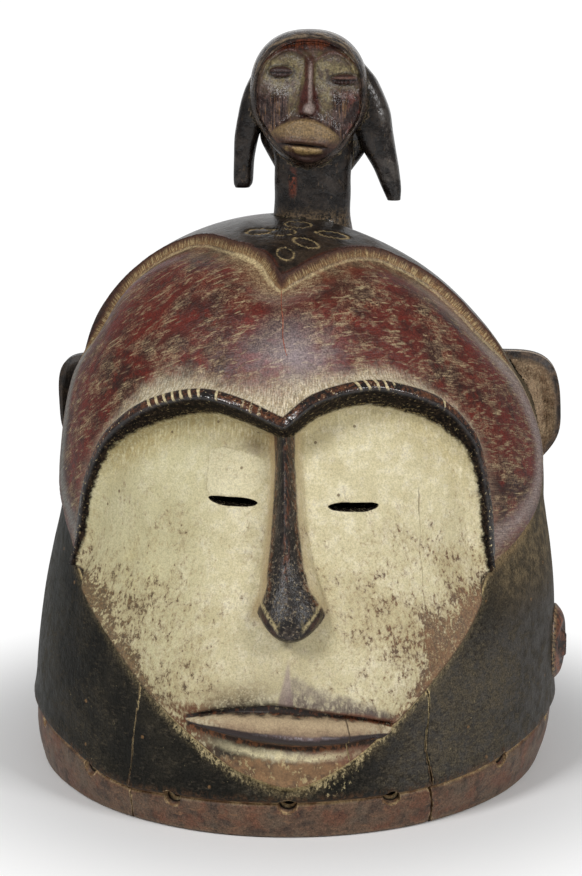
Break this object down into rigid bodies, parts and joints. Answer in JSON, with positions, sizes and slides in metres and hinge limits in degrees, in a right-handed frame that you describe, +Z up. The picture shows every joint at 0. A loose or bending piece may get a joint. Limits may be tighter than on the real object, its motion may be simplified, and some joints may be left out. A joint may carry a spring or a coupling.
{
  "type": "helmet mask",
  "caption": "Bell-shaped carved wooden helmet mask, hollow inside, with a heart-shaped face and a carved head on a neck as its crest; worn over the head or stood on its rim.",
  "frame": {"origin": "middle of the bounding box at the height of the rim's flat underside", "axes": "+Z up through the crest, -Y the way the face looks, +X on the right of someone looking at the face"},
  "size_m": [0.303, 0.3252, 0.4049],
  "materials": {
    "carved_wood": "carved wood with a worn dark patina, red and white earth colours"
  },
  "bodies": {
    "root": {"helmet_mask": "carved_wood"}
  },
  "joints": []
}
